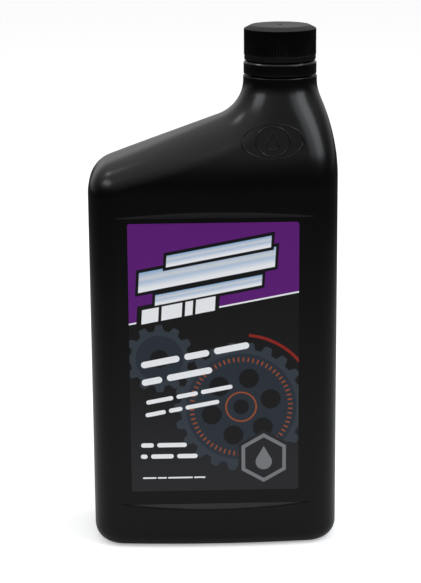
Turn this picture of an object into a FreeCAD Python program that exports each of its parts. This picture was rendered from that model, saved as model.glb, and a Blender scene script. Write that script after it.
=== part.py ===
"""A one quart motor oil bottle with an offset neck, in millimetres.

The bottle stands on the plane Z = 0 with the centre of its base at the origin. Its broad label face looks along -Y, its
depth runs along Y, and the neck stands towards +X. The blow-moulded bottle is one hollow shell. A ribbed cap turns on
the thread of its neck and carries a liner disc, and the tamper ring sits round the neck between the bead and the collar.
"""
import FreeCAD, Part
import math
import os
import Sketcher

from FreeCAD import Placement, Rotation, Vector

doc = FreeCAD.newDocument("oil_bottle")
sheet = doc.addObject("Spreadsheet::Sheet", "Sizes")

# Driving dimensions in millimetres. Heights named break, foot, top, bottom or level are above the floor.
DIMENSIONS = [
    # The blown body.
    ("body_width", 108.8),
    ("body_depth", 57.0),
    ("wall_thickness", 0.85),
    ("corner_round", 13.0),
    ("corner_squareness", 4.5),
    ("face_crown", 2.0),
    ("base_round", 7.3),
    ("foot_width", 5.0),
    ("foot_round", 9.0),
    ("foot_draft", 3.0),
    ("push_up", 2.0),
    # The neck that the body rises into.
    ("neck_inset", 24.65),
    ("neck_radius", 16.0),
    ("neck_foot", 205.7),
    ("collar_top", 207.6),
    ("collar_round", 0.4),
    ("throat_height", 3.0),
    # The long slope on the left, the curved wall on the right, and the front and back faces.
    ("left_break", 158.5),
    ("left_round", 14.4),
    ("left_blend", 16.8),
    ("right_break", 165.1),
    ("right_round", 80.0),
    ("right_blend", 19.2),
    ("face_break", 160.7),
    ("face_round", 46.0),
    ("face_blend", 16.0),
    # The flat label panels, front and back, and their labels.
    ("panel_depth", 2.0),
    ("panel_bottom", 20.7),
    ("panel_top", 150.0),
    ("ledge_rise", 2.4),
    ("label_width", 73.7),
    ("label_height", 121.0),
    ("label_bottom", 26.8),
    ("label_shift", -0.5),
    ("label_thickness", 0.15),
    # The raised mark on the front of the shoulder.
    ("mark_shift", -4.5),
    ("mark_height", 182.0),
    ("mark_width", 27.0),
    ("mark_rise", 14.8),
    ("ring_mark_width", 14.9),
    ("ring_mark_rise", 12.6),
    ("mark_drop", 5.2),
    ("mark_line", 0.5),
    ("mark_relief", 0.3),
    # The finish, which is the threaded top of the neck.
    ("finish_height", 19.0),
    ("bore_radius", 11.0),
    ("root_radius", 12.7),
    ("bead_radius", 14.3),
    ("bead_lift", 2.7),
    ("bead_height", 1.8),
    ("rim_chamfer", 0.5),
    ("thread_depth", 1.0),
    ("thread_pitch", 3.2),
    ("thread_turns", 1.5),
    ("thread_lift", 10.2),
    ("thread_base", 1.7),
    ("thread_crest", 0.7),
    ("thread_clearance", 0.3),
    # The tamper ring.
    ("ring_gap", 0.8),
    ("ring_height", 5.5),
    ("ring_radius", 15.8),
    ("ring_wall", 1.2),
    ("ring_bevel", 0.8),
    ("lip_reach", 0.7),
    ("lip_height", 1.0),
    ("bridge_count", 12),
    ("bridge_width", 0.9),
    ("bridge_depth", 0.25),
    ("bridge_inset", 0.1),
    ("bridge_clearance", 0.15),
    # The cap and what it presses on the rim.
    ("cap_gap", 0.5),
    ("cap_radius", 15.64),
    ("cap_wall", 1.45),
    ("cap_top", 1.5),
    ("cap_face", 12.75),
    ("cap_chamfer", 1.5),
    ("cap_hem", 2.2),
    ("cap_hem_inset", 0.15),
    ("gate_radius", 1.2),
    ("gate_depth", 0.25),
    ("gate_nub", 0.45),
    ("gate_nub_height", 0.15),
    ("rib_count", 84),
    ("rib_depth", 0.35),
    ("rib_groove", 0.8),
    ("liner_clearance", 0.2),
    ("liner_thickness", 0.9),
    ("seal_thickness", 0.1),
    ("seal_inset", 0.2),
    # The oil.
    ("oil_level", 185.0),
    ("oil_clearance", 0.1),
]
for row, (alias, value) in enumerate(DIMENSIONS, start=1):
    sheet.set(f"A{row}", alias)
    sheet.set(f"B{row}", str(value))
    sheet.setAlias(f"B{row}", alias)
doc.recompute()


def size(alias):
    """The value of one cell of the sheet."""
    return float(sheet.get(alias))


HALF_WIDTH = size("body_width") / 2
HALF_DEPTH = size("body_depth") / 2
WALL = size("wall_thickness")
NECK_AXIS = HALF_WIDTH - size("neck_inset")
RIM_HEIGHT = size("collar_top") + size("finish_height")
PANEL_PLANE = HALF_DEPTH - size("panel_depth")

# The same heights as expressions on the sheet, for the pieces that are bound to it.
AXIS_X = "Sizes.body_width / 2 - Sizes.neck_inset"
RIM = "Sizes.collar_top + Sizes.finish_height"
RING_LOW = "Sizes.collar_top + Sizes.ring_gap"
RING_HIGH = f"{RING_LOW} + Sizes.ring_height"
CAP_LOW = f"{RING_HIGH} + Sizes.cap_gap"
HEM_HIGH = f"{CAP_LOW} + Sizes.cap_hem"
CAP_UNDER = f"{RIM} + Sizes.seal_thickness + Sizes.liner_thickness"
CAP_HIGH = f"{CAP_UNDER} + Sizes.cap_top"
AXIS = "axis"


class SideCurve:
    """A wall that rises upright, rounds inward, leans straight, and blends upright again further in.

    It lies in a plane of its own, where `inward` is how far a point is in from the lower wall. Its two roundings are
    limited by the wall, so that one ends before the other begins.
    """

    def __init__(self, start, inward, outer_round, inner_round):
        self.start = start
        self.rise = size("neck_foot") - start
        self.inward = inward
        limit = (inward**2 + self.rise**2) / (2 * inward)
        scale = min(1.0, limit / (outer_round + inner_round))
        self.outer = outer_round * scale
        self.inner = inner_round * scale
        rounds = self.outer + self.inner
        straight = math.sqrt(max(0.0, (rounds - inward) ** 2 + self.rise**2 - rounds**2))
        self.lean = math.atan2(self.rise, rounds - inward) - math.atan2(straight, rounds)
        self.low = self.outer * (1 - math.cos(self.lean)), self.outer * math.sin(self.lean)
        self.high = inward - self.inner * (1 - math.cos(self.lean)), self.rise - self.inner * math.sin(self.lean)

    def inset_at(self, height):
        """How far in the wall stands at a height."""
        climb = height - self.start
        if climb <= 0:
            return 0.0
        if climb >= self.rise:
            return self.inward
        if climb < self.low[1]:
            return self.outer - math.sqrt(self.outer**2 - climb**2)
        if climb > self.high[1]:
            return self.inward - self.inner + math.sqrt(self.inner**2 - (self.rise - climb) ** 2)
        share = (climb - self.low[1]) / (self.high[1] - self.low[1])
        return self.low[0] + share * (self.high[0] - self.low[0])

    def distance(self, inward, height):
        """The shortest distance from a point inside the wall to the curve, or below zero for a point beyond it."""
        beyond = inward - self.inset_at(height)
        if beyond < 0:
            return beyond
        climb = height - self.start
        nearest = [
            math.hypot(inward, max(climb, 0.0)),
            math.hypot(self.inward - inward, max(self.rise - climb, 0.0)),
        ]
        if 0 <= math.atan2(climb, self.outer - inward) <= self.lean:
            nearest.append(abs(self.outer - math.hypot(self.outer - inward, climb)))
        across = inward - (self.inward - self.inner)
        if 0 <= math.atan2(self.rise - climb, across) <= self.lean:
            nearest.append(abs(math.hypot(across, self.rise - climb) - self.inner))
        run = self.high[0] - self.low[0], self.high[1] - self.low[1]
        length = math.hypot(*run)
        if length > 0:
            offset = inward - self.low[0], climb - self.low[1]
            share = (offset[0] * run[0] + offset[1] * run[1]) / length**2
            share = min(1.0, max(0.0, share))
            nearest.append(math.hypot(offset[0] - share * run[0], offset[1] - share * run[1]))
        return min(nearest)


NECK_RADIUS = size("neck_radius")
left_side = SideCurve(
    size("left_break"), HALF_WIDTH + NECK_AXIS - NECK_RADIUS, size("left_round"), size("left_blend")
)
right_side = SideCurve(
    size("right_break"), HALF_WIDTH - NECK_AXIS - NECK_RADIUS, size("right_round"), size("right_blend")
)
face_side = SideCurve(size("face_break"), HALF_DEPTH - NECK_RADIUS, size("face_round"), size("face_blend"))

CORNER_ROUND = size("corner_round")
SQUARENESS = size("corner_squareness")
CROWN = size("face_crown")

# Samples round half a section, how closely they gather at its corners, and the least radius of a rounding.
SECTION_SAMPLES = 48
CORNER_GATHER = 0.15
HALVINGS = 24
LEAST_ROUND = 0.2


def outside(x, y, height, inset):
    """Above zero where a point lies outside the body, whose whole surface is drawn in by `inset`.

    The wall rounds over by its distance to the front outline, so that the upright sides and the slope are rounded
    alike. Going up the neck the section turns into a circle.
    """
    narrowed = face_side.inset_at(height)
    share = narrowed / face_side.inward
    rounding = CORNER_ROUND + share * (NECK_RADIUS - CORNER_ROUND)
    power = SQUARENESS + share * (2.0 - SQUARENESS)
    crown = CROWN * (1 - share) * (x / (HALF_WIDTH - CORNER_ROUND)) ** 2
    reach = HALF_DEPTH - narrowed - crown - inset
    to_left = left_side.distance(x + HALF_WIDTH, height)
    to_right = right_side.distance(HALF_WIDTH - x, height)
    edge = max(0.0, 1 - (min(to_left, to_right) - inset) / max(rounding - inset, LEAST_ROUND))
    return edge**2 + (abs(y) / reach) ** power - 1


def half_section(height, inset):
    """Points of the front half of a section, from the right parting line round the face to the left one."""
    left = left_side.inset_at(height) - HALF_WIDTH
    right = HALF_WIDTH - right_side.inset_at(height)
    depth = HALF_DEPTH - face_side.inset_at(height)
    middle = (left + right) / 2
    half_width = (right - left) / 2
    points = []
    for index in range(SECTION_SAMPLES + 1):
        turn = math.pi * index / SECTION_SAMPLES
        turn += CORNER_GATHER * math.sin(4 * turn)
        across, forward = half_width * math.cos(turn), depth * math.sin(turn)
        if index in (0, SECTION_SAMPLES):
            forward = 0.0
        length = math.hypot(across, forward)
        across, forward = across / length, forward / length
        near, far = 0.0, length
        while outside(middle + far * across, far * forward, height, inset) < 0:
            near, far = far, far * 1.3
        for _ in range(HALVINGS):
            trial = (near + far) / 2
            if outside(middle + trial * across, trial * forward, height, inset) > 0:
                far = trial
            else:
                near = trial
        points.append(Vector(middle + near * across, -near * forward, height))
    return points


def spread(start, end, count):
    """Evenly spread values from start to end, both included."""
    return [start + (end - start) * index / count for index in range(count + 1)]


def body_levels(inset):
    """Heights and insets of the sections of the body, drawn in by `inset`, from its floor to the foot of the neck."""
    rounding = max(size("base_round") - inset, LEAST_ROUND)
    levels = []
    for turn in spread(0.0, math.pi / 2, 6):
        levels.append((inset + rounding * (1 - math.cos(turn)), inset + rounding * (1 - math.sin(turn))))
    base_top = inset + rounding
    shoulder = min(left_side.start, right_side.start, face_side.start)
    for share in (0.01, 0.04, 0.12, 0.3, 0.5, 0.7, 0.88, 0.96, 0.99):
        levels.append((base_top + share * (shoulder - base_top), inset))
    for height in spread(shoulder, size("neck_foot"), 30):
        levels.append((height, inset))
    return levels


def skin(levels):
    """A closed solid through the sections of `levels`, in two halves that meet at the parting line."""
    front_rows = [half_section(height, inset) for height, inset in levels]
    back_rows = [[Vector(p.x, -p.y, p.z) for p in row] for row in front_rows]
    faces = []
    for rows in (front_rows, back_rows):
        surface = Part.BSplineSurface()
        surface.interpolate(rows)
        faces.append(surface.toShape())
    halves = list(faces)
    for level in (levels[0][0], levels[-1][0]):
        rim = [e for face in halves for e in face.Edges if abs(e.CenterOfMass.z - level) < 1e-6]
        faces.append(Part.Face(Part.Wire(Part.__sortEdges__(rim))))
    shell = Part.Shell(faces)
    shell.sewShape()
    solid = Part.Solid(shell)
    if solid.Volume < 0:
        solid.reverse()
    return solid


def revolved(points):
    """A solid turned about the axis of the neck from pairs of radius and height."""
    outline = [Vector(NECK_AXIS + radius, 0, height) for radius, height in points]
    face = Part.Face(Part.makePolygon(outline + outline[:1]))
    return face.revolve(Vector(NECK_AXIS, 0, 0), Vector(0, 0, 1), 360)


def thread_ridge(root, crest):
    """A helical ridge round the Z axis, from the wall that it grows on to the radius of its crest."""
    pitch = size("thread_pitch")
    helix = Part.makeHelix(pitch, pitch * size("thread_turns"), root)
    base, top = size("thread_base") / 2, size("thread_crest") / 2
    sunk = root - math.copysign(size("thread_clearance") / 2, crest - root)
    outline = [Vector(sunk, 0, -base), Vector(crest, 0, -top), Vector(crest, 0, top), Vector(sunk, 0, base)]
    section = Part.makePolygon(outline + outline[:1])
    sweep = Part.BRepOffsetAPI.MakePipeShell(Part.Wire(helix))
    sweep.setFrenetMode(True)
    sweep.add(section)
    sweep.build()
    sweep.makeSolid()
    return sweep.shape()


def panel_cutter(side, inset):
    """What leaves the flat panel on one face, with ledges that slope out at its top and bottom, drawn in by `inset`."""
    plane = PANEL_PLANE - inset
    slope = size("ledge_rise") / size("panel_depth")
    shift = inset * math.tan(math.atan(1 / slope) / 2)
    low, high = size("panel_bottom") - shift, size("panel_top") + shift
    outer = HALF_DEPTH + size("panel_depth")
    rise = slope * (outer - plane)
    corners = [(plane, low), (outer, low - rise), (outer, high + rise), (plane, high)]
    outline = [Vector(-HALF_WIDTH, side * y, z) for y, z in corners]
    return Part.Face(Part.makePolygon(outline + outline[:1])).extrude(Vector(size("body_width"), 0, 0))


def rounded_rectangle(half_x, half_y, radius, height):
    """A level wire with rounded corners, centred on the base."""
    radius = min(radius, half_x, half_y)
    box = Part.makeBox(2 * half_x, 2 * half_y, 1, Vector(-half_x, -half_y, height))
    uprights = [e for e in box.Edges if abs(e.tangentAt(e.FirstParameter).z) > 0.5]
    rounded = box.makeFillet(radius, uprights)
    floor = min(rounded.Faces, key=lambda face: face.CenterOfMass.z)
    return floor.OuterWire


def foot_recess(grown):
    """The shallow recess under the base, or the plateau above it inside, which is `grown` on every side."""
    edge = size("base_round") + size("foot_width") - grown
    draft = size("foot_draft")
    low = rounded_rectangle(HALF_WIDTH - edge, HALF_DEPTH - edge, size("foot_round"), 0)
    high = rounded_rectangle(
        HALF_WIDTH - edge - draft, HALF_DEPTH - edge - draft, size("foot_round") - draft, size("push_up") + grown
    )
    return Part.makeLoft([low, high], True, True)


def finish_outline():
    """Pairs of radius and height round the neck's finish: its bead, the root of its thread and its rim."""
    root, bead = size("root_radius"), size("bead_radius")
    sunk = size("collar_top") - WALL
    low = size("collar_top") + size("bead_lift")
    chamfer = size("rim_chamfer")
    return [
        (0, sunk),
        (root, sunk),
        (root, low),
        (bead, low),
        (root, low + size("bead_height")),
        (root, RIM_HEIGHT - chamfer),
        (root - chamfer, RIM_HEIGHT),
        (0, RIM_HEIGHT),
    ]


def oval(width, rise):
    """A face in the plane of the front, centred on the mark."""
    centre = Vector(NECK_AXIS + size("mark_shift"), 0, size("mark_height"))
    wide, high = centre + Vector(width / 2, 0, 0), centre + Vector(0, 0, rise / 2)
    return Part.Face(Part.Wire(Part.Ellipse(wide, high, centre).toShape()))


def drop_outline(radius):
    """A face in the plane of the front, shaped as a plain drop: a round belly whose sides run up to a point."""
    x, z = NECK_AXIS + size("mark_shift"), size("mark_height") - radius / 2
    point = Vector(x, 0, z + 2 * radius)
    touch = math.radians(30)
    right = Vector(x + radius * math.cos(touch), 0, z + radius * math.sin(touch))
    left = Vector(x - radius * math.cos(touch), 0, z + radius * math.sin(touch))
    belly = Part.Arc(right, Vector(x, 0, z - radius), left).toShape()
    edges = [belly, Part.LineSegment(left, point).toShape(), Part.LineSegment(point, right).toShape()]
    return Part.Face(Part.Wire(edges))


def raised_mark():
    """The plain drop in a flattened ring in an oval, moulded as thin raised lines on the front of the shoulder."""
    line = size("mark_line")
    width, rise, drop = size("mark_width"), size("mark_rise"), size("mark_drop") / 2
    lines = oval(width, rise).cut(oval(width - 2 * line, rise - 2 * line))
    ring_width, ring_rise = size("ring_mark_width"), size("ring_mark_rise")
    lines = lines.fuse(oval(ring_width, ring_rise).cut(oval(ring_width - 2 * line, ring_rise - 2 * line)))
    lines = lines.fuse(drop_outline(drop).cut(drop_outline(drop - line)))
    prism = lines.extrude(Vector(0, -HALF_DEPTH, 0))
    reach = rise / 2 + line
    levels = spread(size("mark_height") - reach, size("mark_height") + reach, 10)
    raised = skin([(height, -size("mark_relief")) for height in levels])
    return prism.common(raised)


def cavity_shape(inset, levels):
    """The space inside the bottle, whose wall is `inset` thick, through the sections of `levels`."""
    space = skin(levels).cut(foot_recess(inset))
    return space.cut(panel_cutter(-1, inset)).cut(panel_cutter(1, inset))


def bottle_shape():
    """The blown shell with its finish, thread, panels, foot and raised mark."""
    collar = size("collar_round")
    levels = body_levels(0.0)
    levels.append((size("collar_top") - collar, 0.0))
    for turn in spread(0.0, math.pi / 2, 4)[1:]:
        levels.append((size("collar_top") - collar * (1 - math.sin(turn)), collar * (1 - math.cos(turn))))
    throat = NECK_RADIUS - size("bore_radius") - WALL
    inner_levels = body_levels(WALL)
    for share in spread(0.0, 1.0, 5)[1:]:
        drawn_in = WALL + 0.9 * throat * (1 - math.cos(math.pi * share)) / 2
        inner_levels.append((size("neck_foot") + share * size("throat_height"), drawn_in))
    bore = Part.makeCylinder(
        size("bore_radius"), size("finish_height") + WALL, Vector(NECK_AXIS, 0, RIM_HEIGHT), Vector(0, 0, -1)
    )
    root = size("root_radius")
    thread = thread_ridge(root, root + size("thread_depth"))
    thread.Placement = Placement(Vector(NECK_AXIS, 0, size("collar_top") + size("thread_lift")), Rotation())
    solid = skin(levels).cut(panel_cutter(-1, 0)).cut(panel_cutter(1, 0)).cut(foot_recess(0))
    solid = solid.fuse(raised_mark())
    solid = solid.fuse(revolved(finish_outline())).fuse(thread)
    return solid.cut(cavity_shape(WALL, inner_levels)).cut(bore)


def oil_shape():
    """The oil, level at its top, a hair's breadth clear of the wall and a little further clear of the floor."""
    inset = WALL + size("oil_clearance")
    level = size("oil_level")
    levels = [pair for pair in body_levels(inset)[1:] if pair[0] < level - 1] + [(level, inset)]
    return cavity_shape(inset, levels)


def feature(label, shape):
    """A sub-part whose shape is worked out here from the sheet."""
    item = doc.addObject("Part::Feature", label)
    item.Label = label
    item.Shape = shape
    item.Placement = Placement()
    return item


def origin_plane(body, role):
    """One of the planes of a body's own origin."""
    return next(item for item in body.Origin.OriginFeatures if item.Role == role)


def turned_body(name, outline):
    """A body turned about the neck's axis, with each corner of its outline bound to the sheet.

    `outline` holds pairs of expressions, a radius and a height. A corner on the axis has AXIS for its radius.
    """
    body = doc.addObject("PartDesign::Body", name)
    sketch = body.newObject("Sketcher::SketchObject", name + "_outline")
    sketch.AttachmentSupport = [(origin_plane(body, "XZ_Plane"), "")]
    sketch.MapMode = "FlatFace"
    count = len(outline)
    start = [Vector(0 if radius == AXIS else 10 + index, 100 + index, 0) for index, (radius, _) in enumerate(outline)]
    for index in range(count):
        sketch.addGeometry(Part.LineSegment(start[index], start[(index + 1) % count]), False)
    for index in range(count):
        sketch.addConstraint(Sketcher.Constraint("Coincident", index, 2, (index + 1) % count, 1))
    for index, (radius, height) in enumerate(outline):
        if radius == AXIS:
            sketch.addConstraint(Sketcher.Constraint("PointOnObject", index, 1, -2))
        else:
            held = sketch.addConstraint(Sketcher.Constraint("DistanceX", -1, 1, index, 1, 10.0 + index))
            sketch.setExpression(f"Constraints[{held}]", radius)
        held = sketch.addConstraint(Sketcher.Constraint("DistanceY", -1, 1, index, 1, 100.0 + index))
        sketch.setExpression(f"Constraints[{held}]", height)
    turned = body.newObject("PartDesign::Revolution", name + "_turned")
    turned.Profile = sketch
    turned.ReferenceAxis = (sketch, ["V_Axis"])
    turned.Angle = 360
    body.setExpression("Placement.Base.x", AXIS_X)
    return body


def level_sketch(body, name, height):
    """A sketch on a level plane of a body, at a height bound to the sheet."""
    sketch = body.newObject("Sketcher::SketchObject", name)
    sketch.AttachmentSupport = [(origin_plane(body, "XY_Plane"), "")]
    sketch.MapMode = "FlatFace"
    sketch.setExpression("AttachmentOffset.Base.z", height)
    return sketch


def bound_polygon(sketch, corners):
    """A closed outline in a sketch, each corner bound by its expressions to the two axes of the sketch."""
    count = len(corners)
    for index in range(count):
        a, b = index + 1, (index + 1) % count + 1
        sketch.addGeometry(Part.LineSegment(Vector(a, a * a, 0), Vector(b, b * b, 0)), False)
    for index in range(count):
        sketch.addConstraint(Sketcher.Constraint("Coincident", index, 2, (index + 1) % count, 1))
    for index, (x, y) in enumerate(corners):
        for kind, expression in (("DistanceX", x), ("DistanceY", y)):
            held = sketch.addConstraint(Sketcher.Constraint(kind, -1, 1, index, 1, index + 1.0))
            sketch.setExpression(f"Constraints[{held}]", expression)


def ring_of(body, name, original, count):
    """Copies of a feature all the way round the axis of its body."""
    pattern = body.newObject("PartDesign::PolarPattern", name)
    pattern.Originals = [original]
    pattern.Axis = (origin_plane(body, "Z_Axis"), [""])
    pattern.Angle = 360
    pattern.setExpression("Occurrences", count)
    body.Tip = pattern
    return pattern


def plate(label, x, y, z, thickness):
    """A label: a thin upright sheet, placed by expressions."""
    box = doc.addObject("Part::Box", label)
    box.setExpression("Length", "Sizes.label_width")
    box.setExpression("Width", thickness)
    box.setExpression("Height", "Sizes.label_height")
    box.setExpression("Placement.Base.x", x)
    box.setExpression("Placement.Base.y", y)
    box.setExpression("Placement.Base.z", z)
    return box


def disc(label, radius, thickness, z):
    """A round disc on the axis of the neck."""
    item = doc.addObject("Part::Cylinder", label)
    item.setExpression("Radius", radius)
    item.setExpression("Height", thickness)
    item.setExpression("Placement.Base.x", AXIS_X)
    item.setExpression("Placement.Base.z", z)
    return item


# The bottle and the oil in it.
bottle = feature("bottle", bottle_shape())
oil = feature("oil", oil_shape())

# The labels, flat on their panels.
PANEL = "Sizes.body_depth / 2 - Sizes.panel_depth"
front_label = plate(
    "front_label",
    "Sizes.label_shift - Sizes.label_width / 2",
    f"-({PANEL}) - Sizes.label_thickness",
    "Sizes.label_bottom",
    "Sizes.label_thickness",
)
back_label = plate(
    "back_label",
    "-Sizes.label_shift - Sizes.label_width / 2",
    PANEL,
    "Sizes.label_bottom",
    "Sizes.label_thickness",
)

# The foil on the rim and the liner disc under the cap.
foil_seal = disc("foil_seal", "Sizes.root_radius - Sizes.seal_inset", "Sizes.seal_thickness", RIM)
cap_liner = disc(
    "cap_liner",
    "Sizes.root_radius + Sizes.thread_clearance - Sizes.liner_clearance",
    "Sizes.liner_thickness",
    f"{RIM} + Sizes.seal_thickness",
)

# The tamper ring: its lip hooks under the bead of the neck, and the stubs on it are what held it to the cap.
INNER = "Sizes.ring_radius - Sizes.ring_wall"
tamper_ring = turned_body(
    "tamper_ring",
    [
        (f"{INNER} - Sizes.lip_reach", RING_LOW),
        ("Sizes.ring_radius", RING_LOW),
        ("Sizes.ring_radius", f"{RING_HIGH} - Sizes.ring_bevel"),
        ("Sizes.ring_radius - Sizes.ring_bevel", RING_HIGH),
        (INNER, RING_HIGH),
        (INNER, f"{RING_LOW} + Sizes.lip_height + Sizes.lip_reach"),
        (f"{INNER} - Sizes.lip_reach", f"{RING_LOW} + Sizes.lip_height"),
    ],
)
STUB_INNER = f"{INNER} + Sizes.bridge_inset"
stub_outline = level_sketch(tamper_ring, "stub_outline", RING_HIGH)
bound_polygon(
    stub_outline,
    [
        (STUB_INNER, "-Sizes.bridge_width / 2"),
        (f"{STUB_INNER} + Sizes.bridge_depth", "-Sizes.bridge_width / 2"),
        (f"{STUB_INNER} + Sizes.bridge_depth", "Sizes.bridge_width / 2"),
        (STUB_INNER, "Sizes.bridge_width / 2"),
    ],
)
stub = tamper_ring.newObject("PartDesign::Pad", "stub")
stub.Profile = stub_outline
stub.setExpression("Length", "Sizes.cap_gap - Sizes.bridge_clearance")
tamper_ring.Tip = stub
doc.recompute()
ring_of(tamper_ring, "stubs", stub, "Sizes.bridge_count")

# The cap: a shell with a bevelled top, a hem below its ribs, and a thread inside.
BORE = "Sizes.cap_radius - Sizes.cap_wall"
HEM = "Sizes.cap_radius - Sizes.cap_hem_inset"
cap_shell = turned_body(
    "cap_shell",
    [
        (AXIS, CAP_UNDER),
        (BORE, CAP_UNDER),
        (BORE, CAP_LOW),
        (HEM, CAP_LOW),
        (HEM, HEM_HIGH),
        ("Sizes.cap_radius", HEM_HIGH),
        ("Sizes.cap_radius", f"{CAP_HIGH} - Sizes.cap_chamfer"),
        ("Sizes.cap_face", CAP_HIGH),
        ("Sizes.gate_radius", CAP_HIGH),
        ("Sizes.gate_radius", f"{CAP_HIGH} - Sizes.gate_depth"),
        ("Sizes.gate_nub", f"{CAP_HIGH} - Sizes.gate_depth"),
        ("Sizes.gate_nub", f"{CAP_HIGH} - Sizes.gate_depth + Sizes.gate_nub_height"),
        (AXIS, f"{CAP_HIGH} - Sizes.gate_depth + Sizes.gate_nub_height"),
    ],
)
groove_outline = level_sketch(cap_shell, "groove_outline", HEM_HIGH)
bound_polygon(
    groove_outline,
    [
        ("Sizes.cap_radius - Sizes.rib_depth", "0 mm"),
        ("Sizes.cap_radius + Sizes.rib_depth", "-Sizes.rib_groove"),
        ("Sizes.cap_radius + Sizes.rib_depth", "Sizes.rib_groove"),
    ],
)
groove = cap_shell.newObject("PartDesign::Pocket", "groove")
groove.Profile = groove_outline
groove.Reversed = True
groove.setExpression("Length", f"{CAP_HIGH} - ({HEM_HIGH})")
cap_shell.Tip = groove
doc.recompute()
ring_of(cap_shell, "grooves", groove, "Sizes.rib_count")

cap_crest = size("root_radius") + size("thread_clearance")
cap_thread = feature("cap_thread", thread_ridge(size("cap_radius") - size("cap_wall"), cap_crest))
cap_thread.setExpression("Placement.Base.x", AXIS_X)
cap_thread.setExpression("Placement.Base.z", "Sizes.collar_top + Sizes.thread_lift - Sizes.thread_pitch / 2")
cap = doc.addObject("Part::Fuse", "cap")
cap.Base = cap_shell
cap.Tool = cap_thread
doc.recompute()

nodes = [bottle, oil, front_label, back_label, foil_seal, cap_liner, tamper_ring, cap]
for item in doc.Objects:
    if "Invalid" in item.State or "Error" in item.State:
        raise RuntimeError(f"{item.Name} did not compute: {item.State}")
for node in nodes:
    if node.Shape.isNull() or not node.Shape.isValid():
        raise RuntimeError(f"{node.Label} has no sound shape")
    print(node.Label, len(node.Shape.Solids), "solid", round(node.Shape.Volume / 1000, 2), "cm3")
os.makedirs("parts", exist_ok=True)
for node in nodes:
    node.Shape.exportStep(f"parts/{node.Label}.step")
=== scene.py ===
"""A full motor oil bottle standing on a pale studio floor.

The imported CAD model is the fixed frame. The bottle, its cap, its tamper ring and its labels get smooth
surfaces of their own, worked out from the same sizes as the solids, and the foil, the liner and the oil
keep theirs. Lengths are in millimetres here until a mesh is made, and the meshes are in metres.
"""

import logging
import math
from dataclasses import dataclass
from enum import Enum
from typing import Callable, Sequence

import bpy
import numpy as np
from mathutils import Matrix, Vector

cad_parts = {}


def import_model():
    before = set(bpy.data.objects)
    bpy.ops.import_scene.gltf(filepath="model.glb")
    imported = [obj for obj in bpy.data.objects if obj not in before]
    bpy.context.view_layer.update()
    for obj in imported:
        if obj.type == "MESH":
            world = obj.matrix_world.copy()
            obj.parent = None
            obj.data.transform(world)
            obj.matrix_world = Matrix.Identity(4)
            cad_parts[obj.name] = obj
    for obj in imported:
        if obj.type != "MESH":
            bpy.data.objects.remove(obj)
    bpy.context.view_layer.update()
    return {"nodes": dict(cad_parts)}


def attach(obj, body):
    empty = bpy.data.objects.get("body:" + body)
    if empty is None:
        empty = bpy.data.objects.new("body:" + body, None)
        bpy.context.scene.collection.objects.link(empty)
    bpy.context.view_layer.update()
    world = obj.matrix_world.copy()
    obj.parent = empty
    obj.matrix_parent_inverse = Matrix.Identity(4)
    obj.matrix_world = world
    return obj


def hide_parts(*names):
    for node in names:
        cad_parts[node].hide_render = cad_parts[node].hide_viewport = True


logging.basicConfig(level=logging.INFO, format="%(message)s")
log = logging.getLogger("oil_bottle")

MM = 0.001
Rgb = tuple[float, float, float]
Pair = tuple[float, float]
Grid = np.ndarray


# Sizes


@dataclass(frozen=True)
class BodySizes:
    """The blown body: its outline, its roundings, its panels and the foot under it.

    Each of the three walls that lead to the neck has the height where it leaves the upright, the radius of
    its lower rounding and the radius of the blend into the neck.
    """

    half_width: float = 54.4
    half_depth: float = 28.5
    corner_round: float = 13.0
    squareness: float = 4.5
    crown: float = 2.0
    base_round: float = 7.3
    neck_axis: float = 29.75
    neck_radius: float = 16.0
    neck_foot: float = 205.7
    left_wall: tuple[float, float, float] = (158.5, 14.4, 16.8)
    right_wall: tuple[float, float, float] = (165.1, 80.0, 19.2)
    face_wall: tuple[float, float, float] = (160.7, 46.0, 16.0)
    collar_top: float = 207.6
    collar_round: float = 0.4
    panel_plane: float = 26.5
    panel_bottom: float = 20.7
    panel_top: float = 150.0
    ledge_slope: float = 1.2
    ledge_soft: float = 0.35
    foot_edge: float = 12.3
    foot_round: float = 9.0
    foot_draft: float = 3.0
    push_up: float = 2.0


@dataclass(frozen=True)
class FinishSizes:
    """The threaded top of the neck."""

    root: float = 12.7
    bore: float = 11.0
    bead: float = 14.3
    bead_low: float = 210.3
    bead_high: float = 212.1
    rim: float = 226.6
    rim_chamfer: float = 0.5
    thread_depth: float = 1.0
    thread_base: float = 1.7
    thread_crest: float = 0.7
    thread_pitch: float = 3.2
    thread_turns: float = 1.5
    thread_start: float = 217.8


@dataclass(frozen=True)
class RingSizes:
    """The tamper ring and the stubs that once held it to the cap."""

    low: float = 208.4
    high: float = 213.9
    radius: float = 15.8
    wall: float = 1.2
    bevel: float = 0.8
    lip_reach: float = 0.7
    lip_height: float = 1.0
    stubs: int = 12
    stub_width: float = 0.9
    stub_inset: float = 0.1
    stub_depth: float = 0.25
    stub_height: float = 0.35


@dataclass(frozen=True)
class CapSizes:
    """The ribbed screw cap."""

    low: float = 214.4
    under: float = 227.6
    high: float = 229.1
    radius: float = 15.64
    wall: float = 1.45
    face: float = 12.75
    chamfer: float = 1.5
    hem: float = 2.2
    hem_inset: float = 0.15
    ribs: int = 84
    rib_depth: float = 0.35
    rib_share: float = 0.68
    rib_start: float = 0.25
    rib_end: float = 0.9
    rib_stop: float = 0.35
    gate_radius: float = 1.2
    gate_depth: float = 0.25


@dataclass(frozen=True)
class LabelSizes:
    """A label: a thin upright sheet on a panel."""

    width: float = 73.7
    height: float = 121.0
    bottom: float = 26.8
    shift: float = -0.5
    thickness: float = 0.15


BODY = BodySizes()
FINISH = FinishSizes()
RING = RingSizes()
CAP = CapSizes()
LABEL = LabelSizes()


# The form of the body


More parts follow.
